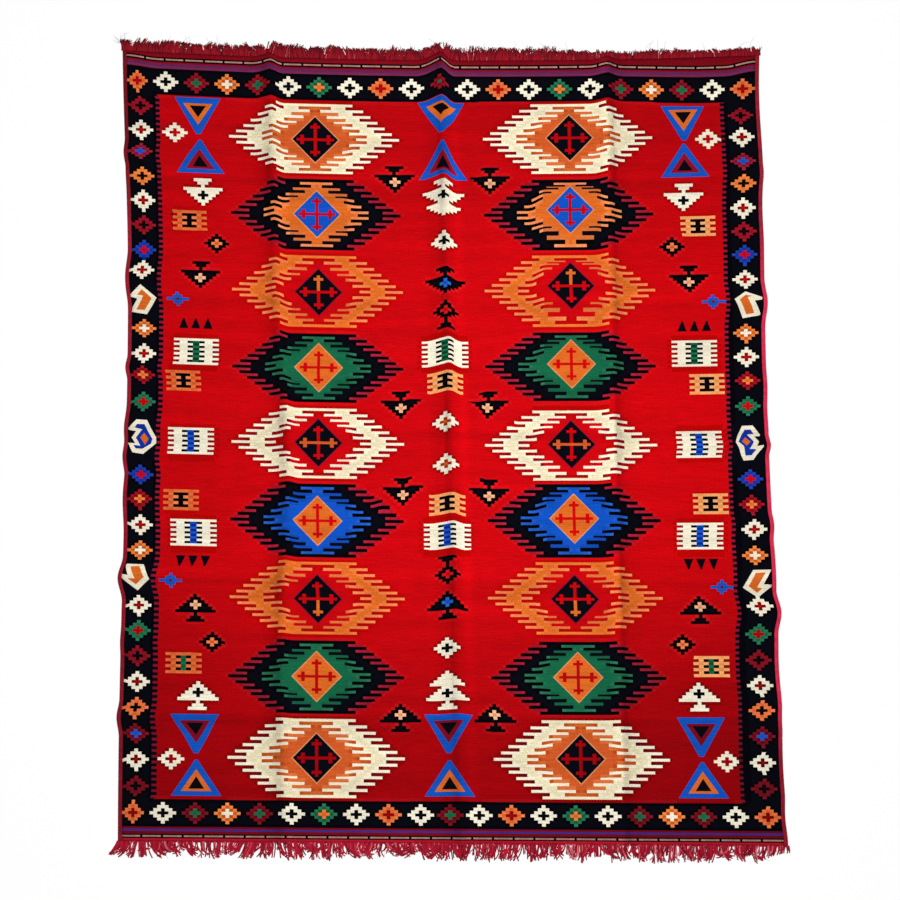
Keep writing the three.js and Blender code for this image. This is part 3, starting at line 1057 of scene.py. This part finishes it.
def within(tree, across, along, outline):
    """1 inside a closed outline, 0 outside: how many of its sides lie to the right of a place,
    odd inside and even outside. Each side is tested only between its two ends' heights."""
    corners = [(x / 1000, y / 1000) for x, y in outline]
    below = [math_node(tree, "LESS_THAN", along, y) for x, y in corners]
    count = None
    for number, (x0, y0) in enumerate(corners):
        after = (number + 1) % len(corners)
        x1, y1 = corners[after]
        if y0 == y1:
            continue
        slope = (x1 - x0) / (y1 - y0)
        side = {0: along, 1: slope, 2: x0 - y0 * slope}
        side_at = add_node(tree, "Math", side, operation="MULTIPLY_ADD").outputs[0]
        beside = math_node(tree, "LESS_THAN", across, side_at)
        between = math_node(tree, "ABSOLUTE", math_node(tree, "SUBTRACT", below[number], below[after]))
        crossed = math_node(tree, "MULTIPLY", beside, between)
        count = crossed if count is None else math_node(tree, "ADD", count, crossed)
    return math_node(tree, "MODULO", count, 2.0)


def wool_surface(tree, output, colour, factor, height, bump, dullness):
    """The colour times a factor, on wool whose bump is (strength, distance) of the height and
    whose dullness is (roughness, specular level)."""
    shaded = add_node(tree, "VectorMath", {0: colour, "Scale": factor}, operation="SCALE").outputs[0]
    relief = {"Height": height, "Strength": bump[0], "Distance": bump[1]}
    wool = add_node(
        tree,
        "BsdfPrincipled",
        {
            "Base Color": shaded,
            "Roughness": dullness[0],
            "Specular IOR Level": dullness[1],
            "Normal": add_node(tree, "Bump", relief).outputs[0],
        },
    )
    tree.links.new(wool.outputs[0], output.inputs["Surface"])


def tapestry_material(name, outlines):
    """Weft-faced wool: the chart's dyes, streaked along the weft as hand-dyed yarn is, with
    the ribs of the warp and the fine lines of the weft as bump. An inlaid figure's outlines
    change the dye inside them."""
    material, tree, output = new_material(name)
    colour = attribute(tree, "dye_0").outputs["Color"]
    if outlines:
        place = attribute(tree, "woven_place").outputs["Vector"]
        middle = attribute(tree, "figure_at").outputs["Vector"]
        turn = attribute(tree, "figure_turn").outputs["Vector"]
        away = add_node(tree, "VectorMath", {0: place, 1: middle}, operation="SUBTRACT").outputs[0]
        turned = add_node(tree, "VectorMath", {0: away, 1: turn}, operation="MULTIPLY").outputs[0]
        parts = add_node(tree, "SeparateXYZ", {0: turned})
        for layer, outline in enumerate(outlines, 1):
            share = within(tree, parts.outputs[0], parts.outputs[1], outline)
            inside = attribute(tree, f"dye_{layer}").outputs["Color"]
            colour = mix_colour(tree, share, colour, inside)
    else:
        phase = math_node(tree, "FRACT", attribute(tree, "tooth_count").outputs["Fac"])
        tooth = math_node(tree, "LESS_THAN", phase, TOOTH_SHARE)
        tooth = math_node(tree, "MULTIPLY", tooth, attribute(tree, "toothed").outputs["Fac"])
        black = (*to_linear(DYES["black"]), 1.0)
        colour = mix_colour(tree, tooth, colour, black)

    banding = streak(tree, (2.2, 26.0, 1.0), 3.0, 0.90, 1.10)
    yarn = streak(tree, (20.0, 230.0, 1.0), 2.0, 0.87, 1.12)
    grain = streak(tree, (240.0, 340.0, 1.0), 1.0, 0.80, 1.19)
    factor = math_node(tree, "MULTIPLY", math_node(tree, "MULTIPLY", banding, yarn), grain)
    # The folds' painted shade and light darken and lighten the dye.
    factor = math_node(tree, "MULTIPLY", factor, attribute(tree, "painted_fold_shading").outputs["Fac"])

    where = add_node(tree, "TexCoord").outputs["Object"]
    waves = {"Vector": where, "Scale": 143.0, "Distortion": 0.6}
    ribs = add_node(tree, "TexWave", waves, bands_direction="X").outputs["Fac"]
    waves = {"Vector": where, "Scale": 285.0, "Distortion": 0.8}
    wefts = add_node(tree, "TexWave", waves, bands_direction="Y").outputs["Fac"]
    height = math_node(tree, "MULTIPLY", ribs, 0.7)
    height = math_node(tree, "ADD", height, math_node(tree, "MULTIPLY", wefts, 0.3))
    wool_surface(tree, output, colour, factor, height, (0.2, 0.0006), (0.85, 0.04))
    return material


cloth = cloth_piece()
cloth.data.materials.append(tapestry_material("tapestry_wool", []))
for figure_name, outlines in FIGURES.items():
    cloth.data.materials.append(tapestry_material("tapestry_" + figure_name.replace(" ", "_"), outlines))
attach(cloth, "root")
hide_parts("cloth")


# ------------------------------------------------------------------ the side bindings
# Crimson yarn whipped round the outermost warps along each side, in close turns, so each
# edge is a firm rounded cord.

BINDING_WIDTH = 0.0135
BINDING_OVERLAP = 0.0012  # over the cloth's edge
BINDING_THICKNESS = 0.0042
WHIP_PITCH = 0.0052
STEPS_PER_TURN = 4
BINDING_FACETS = 10


def tubes_mesh(name, tubes):
    """One mesh of many tubes with closed ends: tubes by rings by places by 3."""
    strands, count, around = tubes.shape[:3]
    here = np.arange(around)
    there = (here + 1) % around
    start = (np.arange(count - 1) * around)[:, None]
    corners = [start + there, start + here, start + here + around, start + there + around]
    base = (np.arange(strands) * count * around)[:, None, None]
    sides = (np.stack(corners, axis=-1).reshape(1, -1, 4) + base).reshape(-1, 4)
    first = (here[None, :] + base[:, 0]).tolist()
    last = (here[None, ::-1] + (count - 1) * around + base[:, 0]).tolist()
    mesh = bpy.data.meshes.new(name)
    mesh.from_pydata(tubes.reshape(-1, 3).tolist(), [], sides.tolist() + first + last)
    mesh.polygons.foreach_set("use_smooth", [True] * len(mesh.polygons))
    return mesh


def binding_piece(name, side, node):
    """A rounded strip carried along the cloth's edge; its outline swells and sinks with every
    turn of the yarn, and the turns slant, so the swell is carried round the section."""
    sign = side["sign"]
    turns = int(2 * HALF_LENGTH / WHIP_PITCH)
    along = np.linspace(-HALF_LENGTH, HALF_LENGTH, turns * STEPS_PER_TURN + 1)
    edge = lay_out(np.full_like(along, sign * CLOTH_HALF_WIDTH), along) + MIDDLE
    angle = np.arange(BINDING_FACETS) / BINDING_FACETS * 2 * math.pi
    wave = 2 * math.pi * (along[:, None] / WHIP_PITCH - 0.5 * np.cos(angle)[None, :])
    swell = 0.86 + 0.14 * np.abs(np.cos(wave / 2))
    out = BINDING_WIDTH / 2 * (1 + np.cos(angle)[None, :] * swell)
    lift = BINDING_THICKNESS / 2 * (1 + np.sin(angle)[None, :] * swell)
    rings = np.stack(
        [
            edge[:, None, 0] + sign * (out - BINDING_OVERLAP),
            np.repeat(edge[:, None, 1], BINDING_FACETS, axis=1),
            edge[:, None, 2] + lift,
        ],
        axis=-1,
    )
    if sign < 0:
        rings = rings[:, ::-1]
    piece = add_object(name, tubes_mesh(name, rings[None]))
    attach(piece, "root")
    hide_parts(node)
    return piece


def colour_run(tree, share, dyes):
    """A run of colours, each at its place along a share from 0 to 1: dyes, and some painted light, shade
    and glints.
    """
    ramp = add_node(tree, "ValToRGB", {"Fac": share})
    for extra in range(len(dyes) - 2):
        ramp.color_ramp.elements.new(0.5)
    for stop, (at, colour) in zip(ramp.color_ramp.elements, dyes):
        stop.position = at
        stop.color = (*to_linear(colour), 1.0)
    return ramp.outputs["Color"]


def yarn_material(name, dyes):
    """Dyed wool yarn with soft blotches and a fine fibre grain. The colours are (share of the way
    up the rug, colour), since more than one batch of yarn was used along a side; the right
    side's are painted lighter, where the light falls, and the left side's darker, in shade."""
    material, tree, output = new_material(name)
    parts = add_node(tree, "SeparateXYZ", {0: add_node(tree, "TexCoord").outputs["Object"]})
    span = {"Value": parts.outputs[1], "From Min": -HALF_LENGTH, "From Max": HALF_LENGTH}
    colour = colour_run(tree, add_node(tree, "MapRange", span).outputs[0], dyes)
    blotch = streak(tree, (60.0, 60.0, 60.0), 2.0, 0.80, 1.18)
    fibre = streak(tree, (900.0, 900.0, 900.0), 2.0, 0.82, 1.15)
    factor = math_node(tree, "MULTIPLY", blotch, fibre)
    wool_surface(tree, output, colour, factor, fibre, (0.3, 0.0004), (0.75, 0.12))
    return material


binding_left = binding_piece("whipped_binding_left", LEFT_SIDE, "binding_left")
# Painted shade: the left binding's crimson is the darker of the pair, painted as the side in shade.
left_dyes_painted_shade = [
    (0.0, (134, 16, 34)),
    (0.40, (150, 20, 42)),
    (0.76, (162, 28, 46)),
    (0.88, (122, 12, 28)),
    (1.0, (118, 12, 26)),
]
binding_left.data.materials.append(yarn_material("binding_yarn", left_dyes_painted_shade))
binding_right = binding_piece("whipped_binding_right", RIGHT_SIDE, "binding_right")
# Painted light: the right binding's crimson is painted a brighter pink as the side the light falls on,
# most of all from 0.18 to 0.68 of the way up.
right_dyes_painted_light = [
    (0.11, (150, 20, 42)),
    (0.18, (226, 44, 80)),
    (0.68, (228, 46, 82)),
    (0.77, (172, 34, 54)),
    (1.0, (152, 26, 44)),
]
binding_right.data.materials.append(yarn_material("binding_yarn_right", right_dyes_painted_light))

# ------------------------------------------------------------------ the fringes
# Warp ends left loose past the weave at both ends, crimson where the last wefts' dye
# stained them: matted tufts at the top, and freer curling clumps at the bottom.

ROOT_DEPTH = 0.004  # how far inside the end of the cloth a yarn starts
YARN_PILE = 0.0035  # how high yarns cross over one another
THREAD_RADIUS = 0.0003


def strand_tubes(paths, radii, sides):
    """Tubes along many paths at once: paths are strands by steps by 3, radii strands by steps.
    Each ring stands across its path, level with the floor on one axis."""
    tangent = np.gradient(paths, axis=1)
    tangent /= np.linalg.norm(tangent, axis=2, keepdims=True) + 1e-12
    level = np.cross(tangent, [0.0, 0.0, 1.0])
    level /= np.linalg.norm(level, axis=2, keepdims=True) + 1e-12
    upright = np.cross(level, tangent)
    angle = np.arange(sides) / sides * 2 * math.pi
    ring = (
        level[:, :, None, :] * np.cos(angle)[None, None, :, None]
        + upright[:, :, None, :] * np.sin(angle)[None, None, :, None]
    )
    return paths[:, :, None, :] + ring * radii[:, :, None, None]


def end_of_cloth(x, end_y):
    """The laid-out edge at the end of the cloth, at places across the straight cloth."""
    inside_x = np.clip(x, -CLOTH_HALF_WIDTH, CLOTH_HALF_WIDTH)
    edge = lay_out(inside_x, np.full_like(inside_x, end_y)) + MIDDLE
    edge[..., 0] += x - inside_x
    return edge


def yarn_paths(draw, sign, yarns, steps, worn):
    """Loose warp ends from one end of the cloth. A yarn's heading starts with its clump's lean
    and turns steadily along it, and its place is the running sum of its headings, so it keeps
    its length; yarns are drawn towards their clump's middle, and sink to the floor. Worn is
    two places towards the right corner and the share of its length each yarn keeps past them."""
    count, clump, lean, curl = (yarns[key] for key in ("count", "clump", "lean", "curl"))
    overlap = yarns.get("overlap", ROOT_DEPTH)
    half = CLOTH_HALF_WIDTH + BINDING_WIDTH
    root_x = np.sort(draw.uniform(-half, half, count))
    clumps = int(2 * half / clump)
    clump_x = np.linspace(-half, half, clumps) + draw.uniform(-0.35, 0.35, clumps) * clump
    mine = np.abs(root_x[:, None] - clump_x[None, :]).argmin(axis=1)
    length = draw.uniform(*yarns["lengths"], clumps)[mine] * draw.uniform(0.82, 1.06, count)
    length = length * np.interp(root_x, worn[:2], [1, worn[2]])
    first = draw.normal(0.0, lean, clumps)[mine] + draw.normal(0.0, lean * 0.4, count)
    turning = draw.normal(0.0, curl, clumps)[mine] + draw.normal(0.0, curl * 0.45, count)
    pull = (draw.uniform(0.3, 1.0, clumps)[mine] * yarns["gather"]) * (clump_x[mine] - root_x)
    s = np.linspace(0, 1, steps)[None, :]
    heading = first[:, None] * (0.5 + 0.5 * s) + turning[:, None] * s**1.5
    stride = length[:, None] / (steps - 1)
    x = np.cumsum(np.sin(heading) * stride, axis=1) - np.sin(heading[:, :1]) * stride
    y = np.cumsum(np.cos(heading) * stride, axis=1) - np.cos(heading[:, :1]) * stride
    edge = end_of_cloth(root_x, sign * HALF_LENGTH)
    top = edge[:, 2, None] + CLOTH_THICKNESS
    past_edge = np.maximum(0, s - (overlap - ROOT_DEPTH) / length[:, None])
    fall = np.clip(1 - 3.0 * past_edge, 0, 1) ** 1.5
    rise = YARN_PILE * np.sin(math.pi * np.clip(s * 1.15, 0, 1))
    layer = draw.uniform(0, 1, count)[:, None] * rise
    z = top * fall + yarns["radius"] * 1.05 + layer * (1 - fall)
    x = edge[:, 0, None] + x + pull[:, None] * s**0.8
    y = edge[:, 1, None] + sign * (y - overlap)
    return np.stack([x, y, z], axis=-1)


def stray_paths(draw, sign, count, steps, corner=None):
    """Thin single threads that stand out past the rest, in slow curves, from anywhere along the
    end or from one corner of it."""
    half = CLOTH_HALF_WIDTH + BINDING_WIDTH
    if corner is None:
        root_x = draw.uniform(-half, half, count)
        heading = draw.normal(0.0, 0.6, count)
    else:
        root_x = np.full(count, corner * half)
        heading = corner * np.linspace(0.25, 1.75, count)
    length = draw.uniform(0.022, 0.045, count)
    s = np.linspace(0, 1, steps)[None, :]
    angle = heading[:, None] + draw.normal(0.0, 0.5, count)[:, None] * s
    x = np.sin(angle) * length[:, None] * s
    y = np.cos(angle) * length[:, None] * s
    edge = end_of_cloth(root_x, sign * HALF_LENGTH)
    z = 0.0025 + 0.004 * np.sin(math.pi * s) + np.zeros_like(x)
    return np.stack([edge[:, 0, None] + x, edge[:, 1, None] + sign * (y + 0.010), z], axis=-1)


def fringe_piece(name, node, paths, radii, shades, sides):
    """One mesh of all the yarns at one end, each vertex knowing its yarn's shade, from dye to painted
    glint, and how far along the yarn it is."""
    mesh = tubes_mesh(name, strand_tubes(paths, radii, sides))
    steps = paths.shape[1]
    store(mesh, "shade", "FLOAT", "POINT", np.repeat(shades, steps * sides))
    along = np.repeat(np.linspace(0, 1, steps), sides)
    store(mesh, "along", "FLOAT", "POINT", np.tile(along, len(paths)))
    piece = add_object(name, mesh)
    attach(piece, "root")
    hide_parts(node)
    return piece


def fringe_material(name, shades, tip):
    """Wool yarn ends, each with a shade of its own from a run of dyes and painted glints, and darker to
    the tip.
    """
    material, tree, output = new_material(name)
    colour = colour_run(tree, attribute(tree, "shade").outputs["Fac"], shades)
    along = attribute(tree, "along").outputs["Fac"]
    ends = {"Value": along, "From Min": 0.45, "From Max": 1.0, "To Min": 1.0, "To Max": tip}
    darker = add_node(tree, "MapRange", ends).outputs[0]
    fibre = streak(tree, (900.0, 300.0, 600.0), 2.0, 0.72, 1.28)
    factor = math_node(tree, "MULTIPLY", fibre, darker)
    wool_surface(tree, output, colour, factor, fibre, (0.3, 0.0004), (0.7, 0.15))
    return material


# Each kind of yarn: how many, their lengths, how wide a clump is, how far clumps lean and
# curl, how far their yarns gather, and a yarn's radius.
TOP_MAT = dict(
    count=2300, lengths=(0.032, 0.045), clump=0.045, lean=0.15, curl=0.5, gather=0.1, radius=0.0018,
    overlap=0.014,
)
TOP_TUFTS = dict(
    count=1200, lengths=(0.022, 0.040), clump=0.022, lean=0.25, curl=0.6, gather=0.8, radius=0.0011
)
BOTTOM_MAT = dict(
    count=560, lengths=(0.028, 0.040), clump=0.050, lean=0.22, curl=0.6, gather=0.1, radius=0.0020
)
BOTTOM_TUFTS = dict(
    count=780, lengths=(0.047, 0.055), clump=0.024, lean=0.30, curl=0.9, gather=0.75, radius=0.0021
)
CORNER_TUFT = dict(  # laid along the whole end; only those at the corner are kept
    count=2600, lengths=(0.040, 0.048), clump=0.030, lean=0.10, curl=0.3, gather=0.2, radius=0.0018
)
WORN_TOP = (0.40, 0.50, 0.66)
WORN_BOTTOM = (0.90, 0.99, 0.45)
TOP_STEPS = 6
BOTTOM_STEPS = 11
CORNER_TUFT_WIDTH = 0.014
CORNER_TUFT_LEAN = 0.020


def all_yarns(groups, radii, tip_share, tip_power):
    """Groups of yarn paths in one array, and each yarn's radius at every step: its group's, less
    towards the tip by a power of the way along."""
    paths = np.concatenate(groups)
    widths = np.repeat(radii, [len(group) for group in groups])
    taper = 1 - tip_share * np.linspace(0, 1, paths.shape[1]) ** tip_power
    return paths, widths[:, None] * taper[None, :]


draw = np.random.default_rng(3)
mat_yarns = yarn_paths(draw, 1, TOP_MAT, TOP_STEPS, WORN_TOP)
tufts = yarn_paths(draw, 1, TOP_TUFTS, TOP_STEPS, WORN_TOP)
threads = stray_paths(draw, 1, 36, TOP_STEPS)
corner_threads = stray_paths(draw, 1, 7, TOP_STEPS, corner=-1)
paths, radii = all_yarns(
    [mat_yarns, tufts, threads, corner_threads],
    [TOP_MAT["radius"], TOP_TUFTS["radius"], THREAD_RADIUS, THREAD_RADIUS],
    tip_share=0.5,
    tip_power=3,
)
yarn_shades = draw.uniform(0.1, 1.0, len(mat_yarns) + len(tufts))
thread_shades = draw.uniform(0.0, 0.08, len(threads) + len(corner_threads))
shades = np.concatenate([yarn_shades, thread_shades])
fringe_top = fringe_piece("fringe_top_yarns", "fringe_top", paths, radii, shades, 4)
# The last stop, pale pink, is a painted glint: the few yarns whose shade lies past 0.985 are painted as
# highlights.
top_shades_and_glints = [
    (0.0, (70, 60, 66)),
    (0.09, (92, 4, 18)),
    (0.45, (138, 8, 26)),
    (0.985, (182, 16, 40)),
    (1.0, (232, 150, 156)),
]
fringe_top.data.materials.append(fringe_material("top_fringe_yarn", top_shades_and_glints, 0.55))

draw = np.random.default_rng(8)
mat_yarns = yarn_paths(draw, -1, BOTTOM_MAT, BOTTOM_STEPS, WORN_BOTTOM)
tufts = yarn_paths(draw, -1, BOTTOM_TUFTS, BOTTOM_STEPS, WORN_BOTTOM)
threads = stray_paths(draw, -1, 40, BOTTOM_STEPS)
corner_yarns = yarn_paths(draw, -1, CORNER_TUFT, BOTTOM_STEPS, WORN_BOTTOM)
root_x = corner_yarns[:, 0, 0]
corner_yarns = corner_yarns[root_x < root_x.min() + CORNER_TUFT_WIDTH]
corner_yarns[..., 0] -= CORNER_TUFT_LEAN * np.linspace(0, 1, BOTTOM_STEPS)[None, :] ** 1.3
paths, radii = all_yarns(
    [mat_yarns, tufts, threads, corner_yarns],
    [BOTTOM_MAT["radius"], BOTTOM_TUFTS["radius"], THREAD_RADIUS, CORNER_TUFT["radius"]],
    tip_share=0.12,
    tip_power=4,
)
yarn_shades = draw.uniform(0.1, 1.0, len(mat_yarns) + len(tufts))
thread_shades = draw.uniform(0.0, 0.08, len(threads))
corner_shades = draw.uniform(0.3, 0.9, len(corner_yarns))
shades = np.concatenate([yarn_shades, thread_shades, corner_shades])
fringe_bottom = fringe_piece("fringe_bottom_yarns", "fringe_bottom", paths, radii, shades, 5)
# The last stop, pale pink, is a painted glint: the yarns whose shade lies past 0.9 turn towards it as
# highlights.
bottom_shades_and_glints = [
    (0.0, (80, 66, 72)),
    (0.09, (112, 4, 24)),
    (0.40, (172, 12, 42)),
    (0.90, (200, 26, 58)),
    (1.0, (236, 150, 160)),
]
fringe_bottom.data.materials.append(fringe_material("bottom_fringe_yarn", bottom_shades_and_glints, 0.9))
